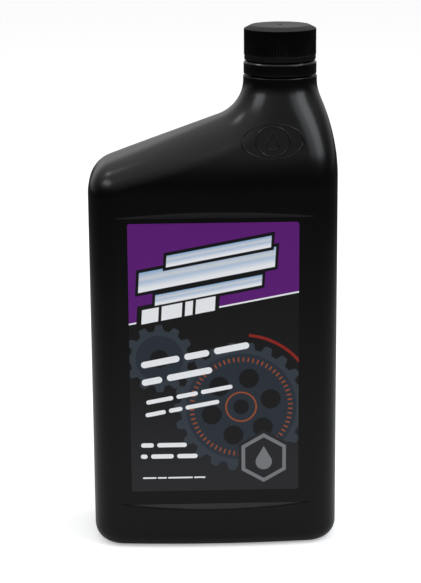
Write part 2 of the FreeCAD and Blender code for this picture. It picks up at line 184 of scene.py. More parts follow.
class WallCurve:
    """A wall that rises upright, rounds inward, leans straight, and blends upright again further in.

    Args:
        wall: The height at which the wall leaves the upright and the radii of its lower and upper roundings.
            Both radii are limited so that one rounding ends before the other begins.
        inward: How far in it ends.
    """

    def __init__(self, wall: tuple[float, float, float], inward: float) -> None:
        """Works out where the arcs end and the straight begins, from the angle at which the wall leans.

        Args:
            wall: As for the class.
            inward: As for the class.
        """
        start, outer_round, inner_round = wall
        self.start = start
        self.inward = inward
        self.rise = BODY.neck_foot - start
        limit = (inward**2 + self.rise**2) / (2 * inward)
        scale = min(1.0, limit / (outer_round + inner_round))
        self.outer = outer_round * scale
        self.inner = inner_round * scale
        rounds = self.outer + self.inner
        straight = math.sqrt(max(0.0, (rounds - inward) ** 2 + self.rise**2 - rounds**2))
        self.lean = math.atan2(self.rise, rounds - inward) - math.atan2(straight, rounds)
        self.low = (self.outer * (1 - math.cos(self.lean)), self.outer * math.sin(self.lean))
        self.high = (
            inward - self.inner * (1 - math.cos(self.lean)),
            self.rise - self.inner * math.sin(self.lean),
        )

    def inset_at(self, height: Grid) -> Grid:
        """How far in the wall stands: an arc, a straight and an arc between two uprights.

        Args:
            height: Heights above the floor.

        Returns:
            The distances in from the lower upright.
        """
        climb = np.clip(height - self.start, 0.0, self.rise)
        lower = self.outer - np.sqrt(np.maximum(self.outer**2 - climb**2, 0.0))
        upper = self.inward - self.inner + np.sqrt(np.maximum(self.inner**2 - (self.rise - climb) ** 2, 0.0))
        share = (climb - self.low[1]) / max(self.high[1] - self.low[1], 1e-9)
        straight = self.low[0] + share * (self.high[0] - self.low[0])
        return np.where(climb < self.low[1], lower, np.where(climb > self.high[1], upper, straight))

    def distance(self, inward: Grid, height: Grid) -> Grid:
        """Shortest distance to the wall: the least of those to its two uprights, two arcs and straight.

        Args:
            inward: How far in the points lie from the lower upright.
            height: Their heights above the floor.

        Returns:
            The distances, below zero for points outside the wall.
        """
        climb = height - self.start
        nearest = np.hypot(inward, np.maximum(climb, 0.0))
        nearest = np.minimum(nearest, np.hypot(self.inward - inward, np.maximum(self.rise - climb, 0.0)))
        turn = np.arctan2(climb, self.outer - inward)
        arc = np.abs(self.outer - np.hypot(self.outer - inward, climb))
        nearest = np.where((turn >= 0) & (turn <= self.lean), np.minimum(nearest, arc), nearest)
        across = inward - (self.inward - self.inner)
        turn = np.arctan2(self.rise - climb, across)
        arc = np.abs(np.hypot(across, self.rise - climb) - self.inner)
        nearest = np.where((turn >= 0) & (turn <= self.lean), np.minimum(nearest, arc), nearest)
        run = (self.high[0] - self.low[0], self.high[1] - self.low[1])
        length = run[0] ** 2 + run[1] ** 2
        share = ((inward - self.low[0]) * run[0] + (climb - self.low[1]) * run[1]) / max(length, 1e-9)
        share = np.clip(share, 0.0, 1.0)
        line = np.hypot(inward - self.low[0] - share * run[0], climb - self.low[1] - share * run[1])
        nearest = np.minimum(nearest, line)
        beyond = inward - self.inset_at(height)
        return np.where(beyond < 0, beyond, nearest)


class BodyForm:
    """The outside of the blown body.

    Its sections turn from a crowned rectangle into the circle of the neck. Half a section has `SAMPLES`
    points, drawn towards the corners by `GATHER`, and each is found by `HALVINGS` halvings along its ray.
    """

    SAMPLES = 132
    GATHER = 0.14
    HALVINGS = 30
    REACH = 1.5

    def __init__(self) -> None:
        """Works out the three walls that lead to the neck."""
        left_run = BODY.half_width + BODY.neck_axis - BODY.neck_radius
        right_run = BODY.half_width - BODY.neck_axis - BODY.neck_radius
        self.left = WallCurve(BODY.left_wall, left_run)
        self.right = WallCurve(BODY.right_wall, right_run)
        self.face = WallCurve(BODY.face_wall, BODY.half_depth - BODY.neck_radius)

    def outside(self, x: Grid, y: Grid, height: Grid, inset: Grid) -> Grid:
        """Above zero outside the body.

        The wall rounds over by its distance to the front outline: the square of how far a point is into the
        rounding, plus the depth as a share of the half depth there raised to a power, is one on the surface.

        Args:
            x: Places across.
            y: Places along the depth.
            height: Heights above the floor.
            inset: How far in from the body's outside the wanted surface lies.

        Returns:
            The sum above, less one.
        """
        narrowed = self.face.inset_at(height)
        share = narrowed / self.face.inward
        rounding = BODY.corner_round + share * (BODY.neck_radius - BODY.corner_round)
        power = BODY.squareness + share * (2.0 - BODY.squareness)
        crown = BODY.crown * (1 - share) * (x / (BODY.half_width - BODY.corner_round)) ** 2
        reach = BODY.half_depth - narrowed - crown - inset
        to_left = self.left.distance(x + BODY.half_width, height)
        to_right = self.right.distance(BODY.half_width - x, height)
        edge = np.minimum(to_left, to_right) - inset
        edge = np.maximum(0.0, 1 - edge / np.maximum(rounding - inset, 0.2))
        return edge**2 + (np.abs(y) / np.maximum(reach, 0.1)) ** power - 1

    def rings(self, heights: Grid, insets: Grid) -> tuple[Grid, Grid]:
        """Closed sections, found by halving along rays from the middle of each.

        Args:
            heights: The height of each section.
            insets: How far in from the body's outside each one lies.

        Returns:
            X and Y of the points, one row to a section.
        """
        h = heights[:, None]
        inset = insets[:, None]
        turn = np.pi * np.arange(self.SAMPLES + 1) / self.SAMPLES
        turn = (turn + self.GATHER * np.sin(4 * turn))[None, :]
        left = self.left.inset_at(h) - BODY.half_width
        right = BODY.half_width - self.right.inset_at(h)
        depth = BODY.half_depth - self.face.inset_at(h)
        middle = (left + right) / 2
        across = (right - left) / 2 * np.cos(turn)
        forward = depth * np.abs(np.sin(turn))
        length = np.hypot(across, forward)
        across, forward = across / length, forward / length
        near, far = np.zeros_like(length), length * self.REACH
        for _ in range(self.HALVINGS):
            trial = (near + far) / 2
            out = self.outside(middle + trial * across, trial * forward, h, inset) > 0
            far = np.where(out, trial, far)
            near = np.where(out, near, trial)
        x, y = middle + near * across, -near * forward
        return np.hstack([x, x[:, -2:0:-1]]), np.hstack([y, -y[:, -2:0:-1]])

    def pressed(self, y: Grid, height: Grid) -> Grid:
        """Depths with the flat panels pressed in: the lesser of skin and panel, joined by a soft edge.

        Args:
            y: Depths of the skin.
            height: Heights above the floor.

        Returns:
            The pressed depths.
        """
        above = np.maximum(height - BODY.panel_top, 0.0)
        below = np.maximum(BODY.panel_bottom - height, 0.0)
        panel = BODY.panel_plane + (above + below) / BODY.ledge_slope
        skin = np.abs(y)
        soft = BODY.ledge_soft
        blend = np.clip(0.5 + (panel - skin) / (2 * soft), 0.0, 1.0)
        lesser = panel * (1 - blend) + skin * blend - soft * blend * (1 - blend)
        return np.sign(y) * np.minimum(lesser, skin)


# Meshes


@dataclass
class Patch:
    """A grid of points with rows and columns.

    Args:
        points: Array of rows, columns and the three coordinates, in millimetres.
        around: Whether the last column joins the first.
        flip: Whether the faces are wound the other way, so that they look outward.
    """

    points: Grid
    around: bool = True
    flip: bool = False

    def faces(self, offset: int) -> Grid:
        """Four corners for each face.

        Args:
            offset: The number of the patch's first point in the mesh.

        Returns:
            One row of four point numbers to a face.
        """
        rows, columns = self.points.shape[:2]
        last = columns if self.around else columns - 1
        row, column = np.meshgrid(np.arange(rows - 1), np.arange(last), indexing="ij")
        beside = (column + 1) % columns
        a = row * columns + column
        b = row * columns + beside
        corners = np.stack([a, b, b + columns, a + columns], axis=-1).reshape(-1, 4)
        return (corners[:, ::-1] if self.flip else corners) + offset


def turned(profile: Sequence[Pair], count: int = 192) -> Grid:
    """A surface turned about the axis of the neck: each radius goes round as its cosine and sine.

    Args:
        profile: Pairs of radius and height.
        count: How many points go round.

    Returns:
        The points, one row to a pair.
    """
    radius, height = np.array(profile, float).T
    turn = 2 * np.pi * np.arange(count)[None, :] / count
    x = BODY.neck_axis + radius[:, None] * np.cos(turn)
    y = radius[:, None] * np.sin(turn)
    return np.stack([x, y, np.broadcast_to(height[:, None], x.shape)], axis=-1)


def rounded(profile: Sequence[Pair], radius: float, steps: int = 3) -> list[Pair]:
    """A profile whose corners are rounded by quadratic curves between points on either side of them.

    Args:
        profile: Pairs of radius and height.
        radius: How far from its corner each curve starts and ends, where its sides are long enough.
        steps: How many straights make up each curve.

    Returns:
        The pairs of the rounded profile.
    """
    points = [np.array(p, float) for p in profile]
    result = [tuple(points[0])]
    for before, corner, after in zip(points, points[1:], points[2:]):
        back, ahead = before - corner, after - corner
        reach = min(radius, np.linalg.norm(back) * 0.45, np.linalg.norm(ahead) * 0.45)
        start = corner + back / np.linalg.norm(back) * reach
        end = corner + ahead / np.linalg.norm(ahead) * reach
        for share in np.linspace(0, 1, steps + 1):
            point = (1 - share) ** 2 * start + 2 * share * (1 - share) * corner + share**2 * end
            result.append(tuple(point))
    result.append(tuple(points[-1]))
    return result


def make_mesh(name: str, patches: Sequence[Patch], sharp_degrees: float = 35.0) -> bpy.types.Object:
    """One object from several patches, in metres, shaded smooth except over sharp edges.

    Args:
        name: Name of the object and its mesh.
        patches: The grids that make it up.
        sharp_degrees: Edges that turn by more than this stay sharp.

    Returns:
        The object, linked to the scene and at the origin.
    """
    offset = 0
    points, faces = [], []
    for patch in patches:
        points.append(patch.points.reshape(-1, 3))
        faces.append(patch.faces(offset))
        offset += len(points[-1])
    vertices = np.concatenate(points) * MM
    corners = np.concatenate(faces)
    mesh = bpy.data.meshes.new(name)
    mesh.vertices.add(len(vertices))
    mesh.vertices.foreach_set("co", vertices.astype(np.float32).ravel())
    mesh.loops.add(corners.size)
    mesh.loops.foreach_set("vertex_index", corners.astype(np.int32).ravel())
    mesh.polygons.add(len(corners))
    mesh.polygons.foreach_set("loop_start", np.arange(0, corners.size, 4, dtype=np.int32))
    mesh.polygons.foreach_set("use_smooth", np.ones(len(corners), dtype=bool))
    mesh.update(calc_edges=True)
    mesh.validate()
    mesh.set_sharp_from_angle(angle=math.radians(sharp_degrees))
    item = bpy.data.objects.new(name, mesh)
    bpy.context.scene.collection.objects.link(item)
    log.info("%s: %d faces", name, len(mesh.polygons))
    return item


# Shader fields


class Op(Enum):
    """The operations that fields use."""

    ADD = "ADD"
    SUBTRACT = "SUBTRACT"
    MULTIPLY = "MULTIPLY"
    DIVIDE = "DIVIDE"
    MINIMUM = "MINIMUM"
    MAXIMUM = "MAXIMUM"
    ABSOLUTE = "ABSOLUTE"
    POWER = "POWER"
    ARCTAN2 = "ARCTAN2"
    FRACT = "FRACT"


class Graph:
    """Adds nodes to one tree, and works with their outputs as fields."""

    def __init__(self, tree: bpy.types.NodeTree) -> None:
        """Keeps the tree that the nodes go into."""
        self.tree = tree

    def node(self, kind: str, **settings: object) -> bpy.types.Node:
        """A new node.

        Args:
            kind: Its type.
            settings: Values of its properties, by name.

        Returns:
            The node.
        """
        made = self.tree.nodes.new(kind)
        for name, value in settings.items():
            setattr(made, name, value)
        return made

    def feed(self, socket: bpy.types.NodeSocket, value: object) -> None:
        """Links a field to a socket, or sets the socket to a number or colour.

        Args:
            socket: The input of a node.
            value: The field, number or colour.
        """
        if isinstance(value, Field):
            self.tree.links.new(value.socket, socket)
        else:
            socket.default_value = value

    def math(self, operation: Op, first: object, second: object = 0.0, clamp: bool = False) -> "Field":
        """One operation on fields or numbers.

        Args:
            operation: What is done.
            first: The first field or number.
            second: The second, where the operation has one.
            clamp: Whether the result is kept between nought and one.

        Returns:
            The result.
        """
        made = self.node("ShaderNodeMath", operation=operation.value, use_clamp=clamp)
        self.feed(made.inputs[0], first)
        self.feed(made.inputs[1], second)
        return Field(self, made.outputs[0])

    def place(self) -> tuple["Field", "Field", "Field"]:
        """The object coordinates.

        Returns:
            X, Y and Z, in millimetres.
        """
        coordinates = self.node("ShaderNodeTexCoord")
        parts = self.node("ShaderNodeSeparateXYZ")
        self.tree.links.new(coordinates.outputs["Object"], parts.inputs[0])
        x, y, z = (Field(self, parts.outputs[index]) * (1 / MM) for index in range(3))
        return x, y, z

    def seen(self) -> "Field":
        """One for what the camera sees directly, and nought for light that a surface mirrors or scatters."""
        return Field(self, self.node("ShaderNodeLightPath").outputs["Is Camera Ray"])

    def noise(self, scale: float, detail: float = 2.0, roughness: float = 0.5) -> "Field":
        """Noise in the object's own space.

        Args:
            scale: About how many features a metre holds.
            detail: How many finer layers it has.
            roughness: How strong each finer layer is against the one before.

        Returns:
            A field from nought to one.
        """
        coordinates = self.node("ShaderNodeTexCoord")
        made = self.node("ShaderNodeTexNoise")
        self.tree.links.new(coordinates.outputs["Object"], made.inputs["Vector"])
        made.inputs["Scale"].default_value = scale
        made.inputs["Detail"].default_value = detail
        made.inputs["Roughness"].default_value = roughness
        return Field(self, made.outputs["Fac"])

    def bump(self, height: "Field", distance: float, under: "Field | None" = None) -> "Field":
        """A normal from a height field.

        Args:
            height: A field from nought to one.
            distance: The height that one stands for, in metres.
            under: The normal of the surface beneath, where it has relief of its own.

        Returns:
            The normal.
        """
        made = self.node("ShaderNodeBump")
        made.inputs["Distance"].default_value = distance
        self.feed(made.inputs["Height"], height)
        if under is not None:
            self.feed(made.inputs["Normal"], under)
        return Field(self, made.outputs["Normal"])

    def mix(self, share: object, under: object, over: object) -> "Field":
        """A blend of two colours.

        Args:
            share: How much of the second colour there is, from nought to one.
            under: The first colour.
            over: The second colour.

        Returns:
            The blended colour.
        """
        made = self.node("ShaderNodeMix", data_type="RGBA")
        self.feed(made.inputs["Factor"], share)
        self.feed(made.inputs["A"], opaque(under))
        self.feed(made.inputs["B"], opaque(over))
        return Field(self, made.outputs["Result"])


def opaque(colour: object) -> object:
    """A colour of three numbers with an alpha of one, or the field that it already is."""
    return (*colour, 1.0) if isinstance(colour, tuple) else colour


@dataclass(frozen=True)
class Field:
    """The output of a node, which can be added, multiplied and so on."""

    graph: Graph
    socket: bpy.types.NodeSocket

    def __add__(self, other: object) -> "Field":
        """The sum."""
        return self.graph.math(Op.ADD, self, other)

    def __sub__(self, other: object) -> "Field":
        """This less the other."""
        return self.graph.math(Op.SUBTRACT, self, other)

    def __rsub__(self, other: object) -> "Field":
        """The other less this."""
        return self.graph.math(Op.SUBTRACT, other, self)

    def __mul__(self, other: object) -> "Field":
        """The product."""
        return self.graph.math(Op.MULTIPLY, self, other)

    def __truediv__(self, other: object) -> "Field":
        """This over the other."""
        return self.graph.math(Op.DIVIDE, self, other)

    def __abs__(self) -> "Field":
        """The value without its sign."""
        return self.graph.math(Op.ABSOLUTE, self)

    def least(self, other: object) -> "Field":
        """The lesser of two fields."""
        return self.graph.math(Op.MINIMUM, self, other)

    def most(self, other: object) -> "Field":
        """The greater of two fields."""
        return self.graph.math(Op.MAXIMUM, self, other)

    def over(self, limit: object, soft: float) -> "Field":
        """One where this is above a limit and nought below it, with an edge `soft` wide."""
        return self.graph.math(Op.ADD, (self - limit) / soft, 0.5, clamp=True)

    def within(self, low: float, high: float, soft: float) -> "Field":
        """One between two limits."""
        return self.over(low, soft) * (high - self).over(0.0, soft)


def length_of(x: Field, y: Field) -> Field:
    """The length of a vector in a plane: the square root of the sum of the squares."""
    return x.graph.math(Op.POWER, x * x + y * y, 0.5)


def group_of(name: str, build: Callable[[Graph], Field], kind: str, output: str) -> bpy.types.NodeTree:
    """A node group with one output, made once and then shared.

    Args:
        name: Name of the group.
        build: Makes the field that the group gives out.
        kind: Socket type of the output.
        output: Name of the output.

    Returns:
        The group.
    """
    if name in bpy.data.node_groups:
        return bpy.data.node_groups[name]
    tree = bpy.data.node_groups.new(name, "ShaderNodeTree")
    tree.interface.new_socket(output, in_out="OUTPUT", socket_type=kind)
    graph = Graph(tree)
    graph.feed(graph.node("NodeGroupOutput").inputs[0], build(graph))
    return tree


def use_group(graph: Graph, tree: bpy.types.NodeTree) -> Field:
    """A shared group, placed in another tree.

    Args:
        graph: Where it is placed.
        tree: The group.

    Returns:
        Its output.
    """
    made = graph.node("ShaderNodeGroup")
    made.node_tree = tree
    return Field(graph, made.outputs[0])


# Finishes


@dataclass(frozen=True)
class Finish:
    """A moulded or printed surface.

    Args:
        name: Name of the material.
        colour: Base colour, linear.
        roughness: Roughness of the sheen.
        specular: Strength of the reflection, where a half is that of plain plastic.
        grain: Height of the fine grain, in metres.
        metallic: How metallic it is.
    """

    name: str
    colour: Rgb
    roughness: float
    specular: float = 0.5
    grain: float = 0.00002
    metallic: float = 0.0


BOTTLE_PLASTIC = Finish("bottle_plastic", (0.0012, 0.0012, 0.0013), 0.24, 0.3, grain=0.000012)
CAP_PLASTIC = Finish("cap_plastic", (0.0012, 0.0012, 0.0013), 0.36, 0.33, grain=0.000012)
RING_PLASTIC = Finish("ring_plastic", (0.001, 0.001, 0.0011), 0.18, 0.4, grain=0.000006)
LABEL_FILM = Finish("label_film", (0.1, 0.02, 0.15), 0.3, 0.4, grain=0.000004)
LINER_FOAM = Finish("liner_foam", (0.75, 0.75, 0.72), 0.8, 0.3, grain=0.00004)
FOIL = Finish("foil", (0.75, 0.75, 0.76), 0.35, 0.5, grain=0.00001, metallic=1.0)
OIL = Finish("oil", (0.42, 0.17, 0.02), 0.05, 0.5, grain=0.0)


def fine_grain(graph: Graph) -> Field:
    """Height of a moulded surface: fine grain with a faint, wider unevenness."""
    return graph.noise(2600.0, 3.0) * 0.5 + graph.noise(160.0, 2.0) * 0.5


def handling(graph: Graph) -> Field:
    """How dull the surface is from handling: soft, wide patches."""
    return graph.noise(38.0, 4.0, 0.6).over(0.5, 0.9)


class Surface:
    """A material whose Principled shader gets a finish, then whatever its owner links to it."""

    def __init__(self, finish: Finish) -> None:
        """Makes the material and gives its shader the finish, duller in patches.

        Args:
            finish: Its colour and sheen.
        """
        self.finish = finish
        self.material = bpy.data.materials.new(finish.name)
        self.material.use_nodes = True
        self.graph = Graph(self.material.node_tree)
        self.shader = self.material.node_tree.nodes["Principled BSDF"]
        self.shader.inputs["Base Color"].default_value = (*finish.colour, 1.0)
        self.shader.inputs["Specular IOR Level"].default_value = finish.specular
        self.shader.inputs["Metallic"].default_value = finish.metallic
        dull = use_group(self.graph, group_of("handling", handling, "NodeSocketFloat", "Dullness"))
        self.link("Roughness", dull * (finish.roughness * 0.22) + finish.roughness * 0.89)

    def link(self, socket: str, field: Field) -> None:
        """Links a field to a socket of the shader."""
        self.graph.feed(self.shader.inputs[socket], field)

    def grain(self) -> Field:
        """The shared grain's height, from nought to one."""
        return use_group(self.graph, group_of("fine_grain", fine_grain, "NodeSocketFloat", "Height"))

    def dress(self, item: bpy.types.Object) -> None:
        """Puts the material on an object in place of any that it has."""
        item.data.materials.clear()
        item.data.materials.append(self.material)


def plain_surface(finish: Finish) -> Surface:
    """A surface with its finish and grain and nothing else.

    Args:
        finish: Its colour, sheen and grain.

    Returns:
        The surface.
    """
    surface = Surface(finish)
    surface.link("Normal", surface.graph.bump(surface.grain(), max(finish.grain, 1e-6)))
    return surface


@dataclass(frozen=True)
class MarkSizes:
    """The raised mark on the front of the shoulder: a plain drop in a flattened ring in an oval."""

    x: float = 25.25
    z: float = 182.0
    half_width: float = 13.25
    half_rise: float = 7.15
    ring_width: float = 7.2
    ring_rise: float = 6.05
    drop: float = 2.4
    drop_sink: float = 1.2
    drop_point: float = 3.4
    line: float = 0.5
    soft: float = 0.22
    relief: float = 0.0003
    front: float = -10.0


MARK = MarkSizes()


def mark_height(graph: Graph) -> Field:
    """Height of the mark's lines: an oval and a ring by their distance, and a drop by belly and sides.

    Args:
        graph: Where the field is made.

    Returns:
        Nought to one, on the front of the bottle only.
    """
    x, y, z = graph.place()
    across, up = x - MARK.x, z - MARK.z
    half, soft = MARK.line / 2, MARK.soft
    round_oval = length_of(across * (MARK.half_rise / MARK.half_width), up)
    oval = (half - abs(round_oval - MARK.half_rise) * 1.2).over(0.0, soft)
    round_ring = length_of(across * (MARK.ring_rise / MARK.ring_width), up)
    ring = (half - abs(round_ring - MARK.ring_rise)).over(0.0, soft)
    belly = length_of(across, up + MARK.drop_sink) - MARK.drop
    lowest = -MARK.drop_sink / 2
    side = (abs(across) * 0.9 + (up - MARK.drop_point) * 0.45).most((lowest - up) * 9.0)
    drop = (half - abs(belly.least(side))).over(0.0, soft)
    front = (MARK.front - y).over(0.0, 1.0)
    return oval.most(ring).most(drop) * front


def parting_height(graph: Graph) -> Field:
    """Height of the fine line that the two halves of the mould leave down both sides.

    Args:
        graph: Where the field is made.

    Returns:
        Nought to one.
    """
    _, y, _ = graph.place()
    return (0.16 - abs(y)).over(0.0, 0.2)


RIB_DULLING = 0.8


def cap_surface() -> Surface:
    """Black moulded plastic with its grain, duller on the ribs than on the top and the hem.

    Returns:
        The surface, whose sheen is less by a share of itself between the hem and the chamfer.
    """
    surface = plain_surface(CAP_PLASTIC)
    _, _, z = surface.graph.place()
    ribs = z.within(CAP.low + CAP.hem + 0.2, CAP.high - CAP.chamfer, 0.3)
    loss = -RIB_DULLING * CAP_PLASTIC.specular
    surface.link("Specular IOR Level", ribs * loss + CAP_PLASTIC.specular)
    return surface


def bottle_surface() -> Surface:
    """Black blown plastic with the raised mark and the parting line.

    Returns:
        The surface.
    """
    surface = Surface(BOTTLE_PLASTIC)
    mark = use_group(surface.graph, group_of("shoulder_mark", mark_height, "NodeSocketFloat", "Height"))
    parting = use_group(surface.graph, group_of("parting_line", parting_height, "NodeSocketFloat", "Height"))
    relief = mark + parting * 0.5
    raised = surface.graph.bump(relief, MARK.relief)
    surface.link("Normal", surface.graph.bump(surface.grain(), BOTTLE_PLASTIC.grain, raised))
    return surface


# Print


class Ink(Enum):
    """Colours of the print, linear."""

    PURPLE = (0.105, 0.0068, 0.171)
    NIGHT = (0.003, 0.003, 0.0036)
    CHARCOAL = (0.0125, 0.0125, 0.0145)
    SLATE = (0.017, 0.024, 0.035)
    STEEL = (0.03, 0.039, 0.051)
    WHITE = (0.86, 0.87, 0.89)
    SILVER = (0.62, 0.66, 0.72)
    SKY = (0.25, 0.42, 0.66)
    ORANGE = (0.29, 0.066, 0.021)
    RED = (0.24, 0.012, 0.007)
    GREY = (0.18, 0.186, 0.198)


class Print:
    """Paints fields of colour and simple shapes on a label, in millimetres from its lower left corner."""

    SOFT = 0.14
    TILT = 10.4

    def __init__(self, surface: Surface, facing: int) -> None:
        """Sets out the label's own coordinates.

        Args:
            surface: The surface of the film.
            facing: One for the front label and minus one for the back.
        """
        self.graph = surface.graph
        x, _, z = self.graph.place()
        middle = LABEL.shift * facing
        self.u = (x - middle) * facing + LABEL.width / 2
        self.v = z - LABEL.bottom
        self.colour: object = Ink.CHARCOAL.value

    def paint(self, mask: Field, ink: object) -> None:
        """Lays an ink over the print where the mask is one."""
        self.colour = self.graph.mix(mask, self.colour, ink.value if isinstance(ink, Ink) else ink)

    def tilted(self, u: float, v: float, degrees: float = TILT) -> tuple[Field, Field]:
        """Coordinates along and across a line that rises to the right.

        Args:
            u: A point on the line, across the label.
            v: The same point, up the label.
            degrees: How steeply the line rises.

        Returns:
            The distances along the line from the point and across it.
        """
        cosine, sine = math.cos(math.radians(degrees)), math.sin(math.radians(degrees))
        du, dv = self.u - u, self.v - v
        return du * cosine + dv * sine, dv * cosine - du * sine

    def bar(self, u: float, v: float, length: float, height: float, degrees: float = TILT) -> Field:
        """A bar with round ends: all that lies near enough to its middle line.

        Args:
            u: Where it starts, across the label.
            v: Where it starts, up the label.
            length: Its length.
            height: Its height.
            degrees: How steeply it rises.

        Returns:
            One inside it.
        """
        along, across = self.tilted(u, v, degrees)
        half = height / 2
        beyond = (abs(along - length / 2) - (length / 2 - half)).most(0.0)
        return (half - length_of(beyond, across)).over(0.0, self.SOFT)

    def stripe(self, u: float, v: float, length: float, height: float, slant: float) -> Field:
        """A tilted bar with straight, slanted ends.

        Args:
            u: Where it starts, across the label.
            v: The middle of its start, up the label.
            length: Its length.
            height: Its height.
            slant: How far its ends lean for each unit of height.

        Returns:
            One inside it.
        """
        along, across = self.tilted(u, v)
        along = along - across * slant
        return along.within(0.0, length, self.SOFT) * across.within(-height / 2, height / 2, self.SOFT)

    def ring(self, u: float, v: float, radius: float, width: float) -> Field:
        """A ring of a width about a circle."""
        reach = length_of(self.u - u, self.v - v)
        return (width / 2 - abs(reach - radius)).over(0.0, self.SOFT)

    def disc(self, u: float, v: float, radius: float) -> Field:
        """A filled circle."""
        return (radius - length_of(self.u - u, self.v - v)).over(0.0, self.SOFT)

    def dashes(self, u: float, v: float, radius: float, width: float, count: int, share: float) -> Field:
        """Short dashes all round a circle.

        Args:
            u: The circle's middle, across the label.
            v: The circle's middle, up the label.
            radius: Radius of the circle.
            width: Length of each dash, along the radius.
            count: How many dashes there are.
            share: How much of its step each dash fills.

        Returns:
            One inside the dashes.
        """
        du, dv = self.u - u, self.v - v
        turn = self.graph.math(Op.ARCTAN2, dv, du) * (count / (2 * math.pi))
        step = abs(self.graph.math(Op.FRACT, turn + float(count)) - 0.5)
        dash = (share / 2 - step).over(0.0, 0.06)
        return dash * self.ring(u, v, radius, width)

    def cog(self, u: float, v: float, radius: float, teeth: int, depth: float) -> Field:
        """A toothed wheel: its edge steps out and in with the turn about its middle.

        Args:
            u: Its middle, across the label.
            v: Its middle, up the label.
            radius: Radius at the foot of the teeth.
            teeth: How many teeth it has.
            depth: How far the teeth stand out.

        Returns:
            One inside it.
        """
        du, dv = self.u - u, self.v - v
        turn = self.graph.math(Op.ARCTAN2, dv, du) * (teeth / (2 * math.pi))
        step = abs(self.graph.math(Op.FRACT, turn + float(teeth)) - 0.5)
        return (step.over(0.25, 0.16) * depth + radius - length_of(du, dv)).over(0.0, self.SOFT)

    def holes(self, u: float, v: float, reach: float, radius: float, count: int) -> None:
        """Paints dark round holes, evenly set about a middle.

        Args:
            u: The middle, across the label.
            v: The middle, up the label.
            reach: Distance of the holes from the middle.
            radius: Radius of each hole.
            count: How many there are.
        """
        for index in range(count):
            turn = 2 * math.pi * (index + 0.25) / count
            self.paint(self.disc(u + reach * math.cos(turn), v + reach * math.sin(turn), radius), Ink.NIGHT)

    def hexagon(self, u: float, v: float, radius: float) -> Field:
        """A filled hexagon with two upright sides: the greatest of three distances from its middle.

        Args:
            u: Its middle, across the label.
            v: Its middle, up the label.
            radius: Distance of its sides from the middle.

        Returns:
            One inside it.
        """
        du, dv = self.u - u, self.v - v
        slants = abs(du * 0.5 + dv * 0.866).most(abs(du * 0.5 - dv * 0.866))
        return (radius - abs(du).most(slants)).over(0.0, self.SOFT)

    def drop(self, u: float, v: float, radius: float) -> Field:
        """A plain drop: a round belly whose sides run up to a point.

        Args:
            u: The middle of its belly, across the label.
            v: The middle of its belly, up the label.
            radius: Radius of the belly.

        Returns:
            One inside it.
        """
        side, up = abs(self.u - u), self.v - v
        taper = (radius - (side * 0.87 + up * 0.5)).over(0.0, self.SOFT) * up.over(radius * 0.5, self.SOFT)
        return self.disc(u, v, radius).most(taper)

    def words(
        self, u: float, v: float, lengths: Sequence[float], height: float, degrees: float = TILT
    ) -> None:
        """Paints a row of plain bars, as blind text.

        Args:
            u: Where the row starts, across the label.
            v: Where the row starts, up the label.
            lengths: The length of each bar.
            height: Height of the bars.
            degrees: How steeply the row rises.
        """
        cosine, sine = math.cos(math.radians(degrees)), math.sin(math.radians(degrees))
        at = 0.0
        for length in lengths:
            self.paint(self.bar(u + at * cosine, v + at * sine, length, height, degrees), Ink.WHITE)
            at += length + height * 0.75


SMALL_COG: Pair = (13.0, 61.0)
LARGE_COG: Pair = (48.5, 38.5)
BADGE: Pair = (58.4, 14.8)
SLANT = 0.25


